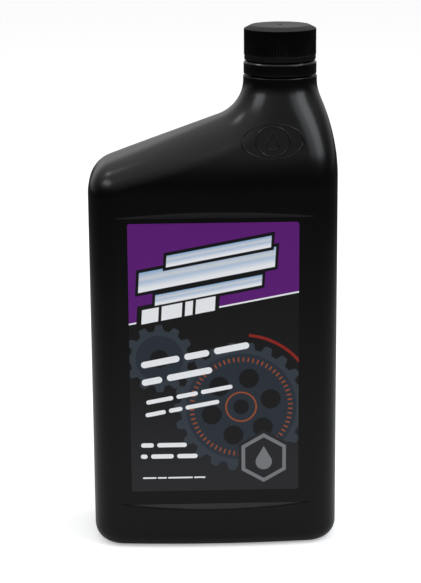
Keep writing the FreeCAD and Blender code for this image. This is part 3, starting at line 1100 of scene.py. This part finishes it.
def front_print(surface: Surface) -> object:
    """A purple field with silver stripes over a dark field with cog wheels, a drop and blind text.

    Args:
        surface: The surface of the film.

    Returns:
        Its colour.
    """
    art = Print(surface, 1)
    art.paint(art.v.over(32.0, 44.0), Ink.NIGHT)
    art.paint(art.cog(*SMALL_COG, 12.6, 12, 2.6), Ink.STEEL)
    art.paint(art.disc(*SMALL_COG, 10.4), Ink.SLATE)
    art.paint(art.disc(*SMALL_COG, 4.0), Ink.NIGHT)
    art.paint(art.cog(*LARGE_COG, 26.4, 22, 3.0), Ink.STEEL)
    art.paint(art.disc(*LARGE_COG, 24.2), Ink.SLATE)
    art.paint(art.dashes(*LARGE_COG, 21.6, 2.0, 64, 0.3), Ink.ORANGE)
    art.holes(*LARGE_COG, 13.4, 4.4, 6)
    art.paint(art.ring(*LARGE_COG, 6.6, 0.7), Ink.ORANGE)
    art.paint(art.disc(*LARGE_COG, 3.4), Ink.NIGHT)
    sweep = (art.v - 45.0).over(0.0, art.SOFT) * (art.u - 52.0).over(0.0, art.SOFT)
    art.paint(art.ring(*LARGE_COG, 32.6, 1.3) * sweep, Ink.RED)
    along, across = art.tilted(0.0, 76.6)
    art.paint(across.over(0.0, art.SOFT), Ink.PURPLE)
    art.paint(across.within(-0.35, 0.35, art.SOFT), Ink.WHITE)
    art.paint(art.stripe(3.4, 79.6, 36.5, 9.6, SLANT), Ink.NIGHT)
    silver = ((4.5, 95.0, 60.0, 8.6), (11.5, 87.2, 47.0, 4.6), (16.5, 104.3, 46.0, 5.0))
    for u, v, length, height in silver:
        art.paint(art.stripe(u - 1.3, v - 0.2, length + 2.6, height + 2.8, SLANT), Ink.NIGHT)
        _, over = art.tilted(u, v)
        share = over / height + 0.5
        shine = art.graph.mix(share.over(0.42, 0.5), Ink.WHITE.value, Ink.SKY.value)
        shine = art.graph.mix(share.over(0.55, 0.12), shine, Ink.SILVER.value)
        shine = art.graph.mix(share.over(0.86, 0.3), shine, Ink.SKY.value)
        art.paint(art.stripe(u, v, length, height, SLANT), shine)
    climb = math.tan(math.radians(Print.TILT))
    for u, length in ((5.6, 7.4), (14.2, 9.0), (24.4, 3.4), (29.0, 8.6)):
        art.paint(art.stripe(u, 79.7 + climb * (u - 5.6), length, 6.2, SLANT), Ink.WHITE)
    art.words(5.0, 58.0, (17.0, 11.0, 15.5), 2.9)
    art.words(5.2, 50.0, (9.0, 20.0), 2.9)
    art.words(7.0, 41.0, (12.0, 9.5, 14.0), 1.9)
    art.words(6.6, 35.2, (9.0, 6.0, 15.0), 1.9)
    art.words(4.4, 21.4, (5.6, 13.0), 2.0, 0.0)
    art.words(4.2, 16.2, (3.0, 10.0, 9.0), 2.0, 0.0)
    art.words(5.0, 6.2, (6.0, 4.0, 11.0, 5.0), 0.7, 0.0)
    art.paint(art.hexagon(*BADGE, 11.2), Ink.CHARCOAL)
    art.paint(art.hexagon(*BADGE, 9.8), Ink.GREY)
    art.paint(art.hexagon(*BADGE, 8.2), Ink.CHARCOAL)
    art.paint(art.drop(BADGE[0], BADGE[1] - 1.8, 3.6), Ink.GREY)
    return art.colour


def back_print(surface: Surface) -> object:
    """A purple band over a dark field with rows of blind text and a plain panel of upright lines.

    Args:
        surface: The surface of the film.

    Returns:
        Its colour.
    """
    art = Print(surface, -1)
    _, across = art.tilted(0.0, 96.0)
    art.paint(across.over(0.0, art.SOFT), Ink.PURPLE)
    art.paint(across.within(-0.35, 0.35, art.SOFT), Ink.WHITE)
    art.paint(art.stripe(6.0, 106.5, 44.0, 5.0, SLANT), Ink.SILVER)
    rows = ((18.0, 12.0, 20.0), (9.0, 22.0, 16.0), (14.0, 10.0, 11.0, 12.0), (20.0, 13.0), (11.0, 16.0, 19.0))
    for index, lengths in enumerate(rows):
        art.words(6.0, 86.0 - 5.0 * index, lengths, 1.5, 0.0)
    for index, lengths in enumerate(rows[::-1]):
        art.words(6.0, 55.0 - 4.0 * index, lengths, 1.1, 0.0)
    panel = art.u.within(42.0, 68.0, art.SOFT) * art.v.within(7.0, 25.0, art.SOFT)
    art.paint(panel, Ink.WHITE)
    lines = abs(art.graph.math(Op.FRACT, art.u * 0.8) - 0.5)
    inner = art.u.within(44.0, 66.0, art.SOFT) * art.v.within(9.5, 23.0, art.SOFT)
    art.paint(inner * (0.26 - lines).over(0.0, 0.1), Ink.NIGHT)
    return art.colour


# Pieces


@dataclass
class Bottle:
    """The blown bottle: its skin, its foot and its threaded neck, as one piece."""

    form: BodyForm

    def levels(self) -> tuple[Grid, Grid]:
        """The sections of the skin, closest where the surface turns most.

        Returns:
            Their heights, and how far in from the body's outside each one lies.
        """
        under = np.linspace(np.pi / 2, 0.0, 13)
        over = np.linspace(0.0, np.pi / 2, 6)[1:]
        top = BODY.collar_top - BODY.collar_round
        runs = (
            (BODY.panel_bottom - 4.0, 4),
            (BODY.panel_bottom + 1.0, 34),
            (BODY.panel_top - 1.0, 14),
            (BODY.panel_top + 3.5, 31),
            (self.form.left.start, 5),
            (BODY.neck_foot, 132),
            (top, 3),
        )
        heights = [BODY.base_round * (1 - np.sin(under))]
        for end, steps in runs:
            heights.append(np.linspace(heights[-1][-1], end, steps + 1)[1:])
        upright = sum(len(run) for run in heights[1:])
        heights.append(top + BODY.collar_round * np.sin(over))
        insets = [
            BODY.base_round * (1 - np.cos(under)),
            np.zeros(upright),
            BODY.collar_round * (1 - np.cos(over)),
        ]
        return np.concatenate(heights), np.concatenate(insets)

    def skin(self) -> Patch:
        """The skin from the foot to the collar, with the panels pressed into it.

        Returns:
            Its grid, one row to a section.
        """
        heights, insets = self.levels()
        x, y = self.form.rings(heights, insets)
        z = np.broadcast_to(heights[:, None], x.shape)
        y = self.form.pressed(y, z)
        return Patch(np.stack([x, y, z], axis=-1), flip=True)

    def foot(self) -> Patch:
        """The flat rim under the base and the shallow recess inside it.

        Each outline is a rectangle with round corners: a ray is cut off at the nearer side, and a point past
        both straight sides is drawn in to the corner's arc.

        Returns:
            Its grid, from the skin's lowest section to the middle of the recess.
        """
        x, y = self.form.rings(np.zeros(1), np.full(1, BODY.base_round))
        turn = np.arctan2(y / BODY.half_depth, x / BODY.half_width)
        rows = [np.stack([x[0], y[0], np.zeros_like(x[0])], axis=-1)]
        edge, draft = BODY.foot_edge, BODY.foot_draft
        outlines = (
            (edge, BODY.foot_round, 0.0),
            (edge + draft, BODY.foot_round - draft, BODY.push_up),
            (BODY.half_depth - 0.5, 0.5, BODY.push_up),
        )
        for inset, rounding, height in outlines:
            half = np.array([BODY.half_width - inset, BODY.half_depth - inset])
            core = half - min(rounding, half.min())
            direction = np.column_stack([np.cos(turn[0]), np.sin(turn[0])])
            direction *= [BODY.half_width, BODY.half_depth]
            near = np.abs(direction) / np.abs(direction).max(axis=-1, keepdims=True)
            scale = np.min(half / np.maximum(near, 1e-9), axis=-1)
            point = near * scale[:, None]
            over = np.maximum(point - core, 0.0)
            reach = np.linalg.norm(over, axis=-1)
            limit = (half - core).min()
            shrink = np.minimum(limit / np.maximum(reach, 1e-9), 1.0)[:, None]
            cornered = (over > 0).all(axis=-1)[:, None]
            point = np.where(cornered, core + over * shrink, point)
            signed = point * np.sign(direction)
            rows.append(np.column_stack([signed, np.full(len(signed), height)]))
        return Patch(np.stack(rows), flip=False)

    def finish(self) -> list[Patch]:
        """The collar's flat top, the bead, the thread's root, the rim and the bore, with the thread.

        Returns:
            The grids.
        """
        profile = [
            (BODY.neck_radius - BODY.collar_round, BODY.collar_top),
            (FINISH.root, BODY.collar_top),
            (FINISH.root, FINISH.bead_low),
            (FINISH.bead, FINISH.bead_low),
            (FINISH.root, FINISH.bead_high),
            (FINISH.root, FINISH.rim - FINISH.rim_chamfer),
            (FINISH.root - FINISH.rim_chamfer, FINISH.rim),
            (FINISH.bore, FINISH.rim),
            (FINISH.bore, BODY.neck_foot),
        ]
        return [Patch(turned(rounded(profile, 0.25)), flip=True), self.thread()]

    def thread(self) -> Patch:
        """The helical ridge: a strip that climbs with the turn and fades out at both ends.

        Returns:
            Its grid, one row to a step of the turn.
        """
        steps = 180
        share = np.linspace(0.0, 1.0, steps)[:, None]
        turn = 2 * np.pi * FINISH.thread_turns * share
        fade = np.clip(np.minimum(share, 1 - share) / 0.04, 0.0, 1.0)
        half_base, half_crest = FINISH.thread_base / 2, FINISH.thread_crest / 2
        across = np.array([-half_base, -half_crest, half_crest, half_base])[None, :]
        out = np.array([-0.1, 1.0, 1.0, -0.1])[None, :] * fade
        radius = FINISH.root + FINISH.thread_depth * out
        x = BODY.neck_axis + radius * np.cos(turn)
        y = radius * np.sin(turn)
        z = FINISH.thread_start + FINISH.thread_pitch * FINISH.thread_turns * share + across
        return Patch(np.stack([x, y, z], axis=-1), around=False, flip=False)

    def build(self) -> bpy.types.Object:
        """Makes the whole piece, riding on the body of the bottle.

        Returns:
            The object.
        """
        item = make_mesh("bottle_skin", [self.skin(), self.foot(), *self.finish()], 50.0)
        bottle_surface().dress(item)
        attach(item, "bottle")
        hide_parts("bottle")
        return item


@dataclass
class ScrewCap:
    """The ribbed cap, with its chamfered top and plain hem."""

    STEPS: int = 10

    def build(self) -> bpy.types.Object:
        """Makes the cap, riding on the body of the cap.

        A rib's section is its radius less a groove that deepens evenly from the rib's edge to the middle of
        the gap beside it.

        Returns:
            The object.
        """
        count = CAP.ribs * self.STEPS
        bore = CAP.radius - CAP.wall
        hem_radius = CAP.radius - CAP.hem_inset
        hem_top = CAP.low + CAP.hem
        shoulder = CAP.high - CAP.chamfer
        outer = rounded(
            [
                (bore, CAP.low),
                (hem_radius, CAP.low),
                (hem_radius, hem_top),
                (CAP.radius, hem_top),
                (CAP.radius, shoulder),
                (CAP.face, CAP.high),
                (CAP.gate_radius, CAP.high),
                (CAP.gate_radius - 0.2, CAP.high - CAP.gate_depth),
                (0.0, CAP.high - CAP.gate_depth),
            ],
            0.18,
        )
        points = turned(outer, count)
        height = points[..., 2]
        above_hem = np.clip((height - hem_top) / CAP.rib_start, 0.0, 1.0)
        below_top = np.clip((CAP.high - CAP.rib_stop - height) / CAP.rib_end, 0.0, 1.0)
        ribbed = above_hem * below_top
        phase = np.abs((np.arange(count) / self.STEPS) % 1.0 - 0.5) * 2
        groove = np.clip((phase - (1 - CAP.rib_share)) / CAP.rib_share, 0.0, 1.0)
        across = points[..., 0] - BODY.neck_axis
        radius = np.hypot(across, points[..., 1])
        cut = ribbed * CAP.rib_depth * groove[None, :] * (radius > CAP.face + 0.4)
        scale = np.where(radius > 0.01, (radius - cut) / np.maximum(radius, 0.01), 1.0)
        points[..., 0] = BODY.neck_axis + across * scale
        points[..., 1] *= scale
        inner = turned([(0.0, CAP.under), (bore, CAP.under), (bore, CAP.low)], 96)
        item = make_mesh("cap_skin", [Patch(points, flip=False), Patch(inner, flip=False)], 40.0)
        cap_surface().dress(item)
        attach(item, "cap")
        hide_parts("cap")
        return item


@dataclass
class TamperRing:
    """The ring below the cap, with the stubs of its bridges."""

    def stubs(self) -> list[Patch]:
        """Small blocks on top of the ring, each a short box bent round the axis.

        Returns:
            One grid to a block.
        """
        inner = RING.radius - RING.wall + RING.stub_inset
        radii = np.array([inner, inner + RING.stub_depth, inner + RING.stub_depth, inner])
        half = RING.stub_width / 2 / inner
        sides = np.array([-half, -half, half, half])
        blocks = []
        for index in range(RING.stubs):
            turn = 2 * np.pi * index / RING.stubs + sides
            x = BODY.neck_axis + radii * np.cos(turn)
            y = radii * np.sin(turn)
            low = np.column_stack([x, y, np.full(4, RING.high)])
            high = low + [0.0, 0.0, RING.stub_height]
            middle = np.repeat(high.mean(axis=0)[None, :], 4, axis=0)
            blocks.append(Patch(np.stack([low, high, middle])))
        return blocks

    def build(self) -> bpy.types.Object:
        """Makes the ring, riding on the body of the bottle.

        Returns:
            The object.
        """
        inner = RING.radius - RING.wall
        profile = [
            (inner - RING.lip_reach, RING.low + RING.lip_height),
            (inner - RING.lip_reach, RING.low),
            (RING.radius, RING.low),
            (RING.radius, RING.high - RING.bevel),
            (RING.radius - RING.bevel, RING.high),
            (inner, RING.high),
            (inner, RING.low + RING.lip_height + RING.lip_reach),
            (inner - RING.lip_reach, RING.low + RING.lip_height),
        ]
        band = turned(rounded(profile, 0.16))
        item = make_mesh("tamper_ring_skin", [Patch(band), *self.stubs()], 60.0)
        plain_surface(RING_PLASTIC).dress(item)
        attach(item, "bottle")
        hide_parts("tamper_ring")
        return item


@dataclass
class FlatLabel:
    """A printed film on one of the panels.

    Args:
        node: The CAD node that it stands for.
        facing: One for the front label and minus one for the back.
        paint: Gives the colour of its print.
    """

    node: str
    facing: int
    paint: Callable[[Surface], object]

    def build(self) -> bpy.types.Object:
        """Makes the film, as a thin sheet with slightly rounded corners, open only against its panel.

        Returns:
            The object.
        """
        centre_x = LABEL.shift * self.facing
        centre_z = LABEL.bottom + LABEL.height / 2
        corner = 1.0
        turn = np.linspace(0.0, np.pi / 2, 6)
        quarter = corner * np.column_stack([np.cos(turn), np.sin(turn)])
        half = np.array([LABEL.width / 2, LABEL.height / 2])
        outline = []
        for quadrant, (sx, sz) in enumerate(((1, 1), (-1, 1), (-1, -1), (1, -1))):
            spin = np.pi / 2 * quadrant
            matrix = np.array([[np.cos(spin), -np.sin(spin)], [np.sin(spin), np.cos(spin)]])
            outline.append(quarter @ matrix.T + (half - corner) * [sx, sz])
        outline = np.concatenate(outline)
        near = BODY.panel_plane
        depths = (near, near + LABEL.thickness, near + LABEL.thickness)
        scales = (1.0, 1.0, 0.0)
        rows = []
        for depth, scale in zip(depths, scales):
            x = centre_x + outline[:, 0] * scale
            z = centre_z + outline[:, 1] * scale
            rows.append(np.column_stack([x, np.full(len(x), -self.facing * depth), z]))
        item = make_mesh(self.node + "_film", [Patch(np.stack(rows), flip=self.facing > 0)], 50.0)
        surface = Surface(LABEL_FILM)
        surface.link("Normal", surface.graph.bump(surface.grain(), LABEL_FILM.grain))
        surface.graph.feed(surface.shader.inputs["Base Color"], self.paint(surface))
        surface.dress(item)
        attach(item, "bottle")
        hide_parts(self.node)
        return item


# Studio


@dataclass(frozen=True)
class CameraFit:
    """The photo's camera, from the bottle's axis.

    Args:
        distance: How far in front it stands, in millimetres.
        height: How high it stands.
        shift: How far to the right it stands.
        pitch: How far it looks down, in degrees.
        roll: How far it leans.
        yaw: How far it is turned about the axis.
        lens: Its focal length, in millimetres.
        sensor: Height of its sensor.
    """

    distance: float = 813.754
    height: float = 317.494
    shift: float = -1.104
    pitch: float = 14.248
    roll: float = -0.437
    yaw: float = 1.715
    lens: float = 116.29
    sensor: float = 36.0


@dataclass(frozen=True)
class SoftBox:
    """A rectangular lamp that faces the bottle.

    Args:
        name: Name of the lamp.
        place: Where it stands, in metres.
        size: Its width and height, in metres.
        power: Watts.
        colour: Colour of its light.
        target: What it faces, in metres.
        mirrored: Whether glossy surfaces show it. One that they don't show only lifts the colours.
    """

    name: str
    place: tuple[float, float, float]
    size: tuple[float, float]
    power: float
    colour: Rgb
    target: tuple[float, float, float] = (0.0, 0.0, 0.12)
    mirrored: bool = True


SOFT_BOXES = (
    SoftBox("right_box", (0.94, -0.5, 1.02), (0.62, 0.95), 7.6, (0.9, 0.95, 1.0), (0.03, 0.0, 0.18)),
    SoftBox("left_box", (-1.06, -0.46, 1.04), (0.72, 0.4), 3.7, (0.94, 0.96, 1.0), (0.03, 0.0, 0.19)),
    SoftBox("top_left_box", (-0.72, 0.31, 1.22), (0.24, 0.24), 0.9, (0.95, 0.97, 1.0), (0.03, 0.0, 0.21)),
    SoftBox("top_right_box", (0.7, 0.29, 1.28), (0.22, 0.22), 0.75, (0.95, 0.97, 1.0), (0.03, 0.0, 0.21)),
    SoftBox("right_front_box", (0.7, -0.94, 1.0), (0.42, 0.6), 1.3, (0.92, 0.96, 1.0), (0.03, 0.0, 0.18)),
    SoftBox("front_top_box", (0.0, -0.8, 1.32), (0.2, 0.12), 0.16, (0.95, 0.97, 1.0), (0.0, 0.0, 0.02)),
    SoftBox("fill_box", (0.0, -1.5, 0.6), (1.0, 1.0), 8.0, (1.0, 1.0, 1.0), (0.0, 0.0, 0.1), False),
)


@dataclass(frozen=True)
class StudioTones:
    """How bright the floor and the walls are.

    Args:
        painted_pool_reach: How far from the axis the floor's painted pool of light is half way down, in
            millimetres.
        painted_pool_fade: How wide that change is.
        painted_pool_near_tone: Colour of the floor in mirrored light at the bottle, painted bright as a pool
            of light.
        painted_pool_far_tone: Its colour far from it, painted dark as shade.
        floor_glow: Light of its own that the camera sees.
        floor_shades: The darker and the lighter grey that the camera's view of it is mixed from.
        floor_share: The least share of the lighter one.
        floor_mottle: How much more of it there is in places.
        sky_rise: How fast the mirrored ceiling brightens with height.
        sky_drop: What is taken off it.
        wall_glow: Mirrored light from behind the bottle.
        wall_back: How far back a direction points, out of one, where that light is half way up.
        wall_back_soft: How wide that change is.
        wall_top: How far up a direction points, out of one, where that light is half way down.
        wall_top_soft: How wide that change is.
        least_glow: Mirrored light from everywhere.
        backdrop: What the camera sees past the floor.
    """

    painted_pool_reach: float = 400.0
    painted_pool_fade: float = 600.0
    painted_pool_near_tone: float = 0.45
    painted_pool_far_tone: float = 0.03
    floor_glow: float = 0.34
    floor_shades: Pair = (0.8, 0.86)
    floor_share: float = 0.8
    floor_mottle: float = 0.03
    sky_rise: float = 1.3
    sky_drop: float = 0.22
    wall_glow: float = 0.48
    wall_back: float = 0.4
    wall_back_soft: float = 0.8
    wall_top: float = 0.7
    wall_top_soft: float = 0.9
    least_glow: float = 0.04
    backdrop: float = 0.95


class Studio:
    """Floor, lamps, surroundings and camera. The floor reaches `FLOOR_HALF` metres each way."""

    FLOOR_HALF = 6.0

    def __init__(self, fit: CameraFit = CameraFit(), tones: StudioTones = StudioTones()) -> None:
        """Keeps the camera's place and the tones."""
        self.fit = fit
        self.tones = tones

    def camera(self) -> None:
        """Sets the camera where the photo was taken from."""
        fit = self.fit
        pitch, roll, yaw = (math.radians(angle) for angle in (fit.pitch, fit.roll, fit.yaw))
        turn_back = Matrix.Rotation(-yaw, 3, "Z")
        ahead = turn_back @ Vector((0.0, math.cos(pitch), -math.sin(pitch)))
        up = turn_back @ Vector((0.0, math.sin(pitch), math.cos(pitch)))
        right = turn_back @ Vector((1.0, 0.0, 0.0))
        place = turn_back @ Vector((fit.shift, -fit.distance, fit.height)) * MM
        across = right * math.cos(roll) + up * math.sin(roll)
        upward = up * math.cos(roll) - right * math.sin(roll)
        turned_to = Matrix((across, upward, -ahead)).transposed().to_4x4()
        data = bpy.data.cameras.new("photo_camera")
        data.lens = fit.lens
        data.sensor_fit = "VERTICAL"
        data.sensor_height = fit.sensor
        data.clip_start = 0.01
        item = bpy.data.objects.new("photo_camera", data)
        item.matrix_world = Matrix.Translation(place) @ turned_to
        bpy.context.scene.collection.objects.link(item)
        bpy.context.scene.camera = item

    def floor(self) -> None:
        """A wide, pale, matte floor. Mirrored, it is dimmer, with a painted pool of light round the bottle.
        """
        corners = np.array([[[-1, -1, 0], [1, -1, 0]], [[-1, 1, 0], [1, 1, 0]]], float)
        item = make_mesh("studio_floor", [Patch(corners * self.FLOOR_HALF / MM, around=False)])
        surface = Surface(Finish("floor_paper", (0.82, 0.82, 0.82), 0.8, 0.1, grain=0.00005))
        graph = surface.graph
        seen = graph.seen()
        x, y, _ = graph.place()
        reach = length_of(x, y)
        tones = self.tones
        # Painted pool of light: in mirrored light the floor's colour is bright near the bottle and dark away
        # from it.
        near = (tones.painted_pool_reach - reach).over(0.0, tones.painted_pool_fade)
        tone = graph.noise(3.0, 2.0) * tones.floor_mottle + tones.floor_share
        darker, lighter = tones.floor_shades
        pale = graph.mix(tone, (darker,) * 3, (lighter,) * 3)
        # The floor's colour in mirrored light: the painted pool of light, fading to painted shade.
        painted_pool_colour = graph.mix(near, (tones.painted_pool_far_tone,) * 3, (tones.painted_pool_near_tone,) * 3)
        graph.feed(surface.shader.inputs["Base Color"], graph.mix(seen, painted_pool_colour, pale))
        surface.shader.inputs["Emission Color"].default_value = (1.0, 1.0, 1.0, 1.0)
        surface.link("Emission Strength", seen * tones.floor_glow)
        surface.dress(item)

    def lamps(self) -> None:
        """The soft boxes."""
        for box in SOFT_BOXES:
            data = bpy.data.lights.new(box.name, "AREA")
            data.shape = "RECTANGLE"
            data.size, data.size_y = box.size
            data.energy = box.power
            data.color = box.colour
            item = bpy.data.objects.new(box.name, data)
            item.visible_glossy = box.mirrored
            aim = Vector(box.target) - Vector(box.place)
            turned_to = aim.to_track_quat("-Z", "Y").to_matrix().to_4x4()
            item.matrix_world = Matrix.Translation(box.place) @ turned_to
            bpy.context.scene.collection.objects.link(item)

    def surroundings(self) -> None:
        """The walls and the ceiling: brighter overhead and behind the bottle than behind the camera."""
        world = bpy.data.worlds.new("studio")
        bpy.context.scene.world = world
        world.use_nodes = True
        graph = Graph(world.node_tree)
        background = world.node_tree.nodes["Background"]
        background.inputs["Color"].default_value = (1.0, 1.0, 1.0, 1.0)
        coordinates = graph.node("ShaderNodeTexCoord")
        parts = graph.node("ShaderNodeSeparateXYZ")
        world.node_tree.links.new(coordinates.outputs["Generated"], parts.inputs[0])
        forward, upward = Field(graph, parts.outputs[1]), Field(graph, parts.outputs[2])
        tones = self.tones
        above = (upward * tones.sky_rise - tones.sky_drop).most(0.0)
        back = forward.over(tones.wall_back, tones.wall_back_soft)
        below = (tones.wall_top - upward).over(0.0, tones.wall_top_soft)
        glow = above.most(back * below * tones.wall_glow) + tones.least_glow
        seen = graph.seen()
        graph.feed(background.inputs["Strength"], glow * (1.0 - seen) + seen * tones.backdrop)

    def build(self) -> None:
        """Everything round the bottle, shown with a plain tone curve."""
        bpy.context.scene.view_settings.view_transform = "Standard"
        self.camera()
        self.floor()
        self.lamps()
        self.surroundings()


# Assembly


def dress_cad_nodes(frame: dict) -> None:
    """Puts finishes on the pieces that keep their CAD surfaces.

    Args:
        frame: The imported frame, as it was loaded.
    """
    finishes = {"foil_seal": FOIL, "cap_liner": LINER_FOAM, "oil": OIL}
    for node, finish in finishes.items():
        plain_surface(finish).dress(frame["nodes"][node])


def main() -> None:
    """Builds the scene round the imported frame."""
    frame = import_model()
    dress_cad_nodes(frame)
    Bottle(BodyForm()).build()
    ScrewCap().build()
    TamperRing().build()
    FlatLabel("front_label", 1, front_print).build()
    FlatLabel("back_label", -1, back_print).build()
    Studio().build()


if __name__ == "__main__":
    main()
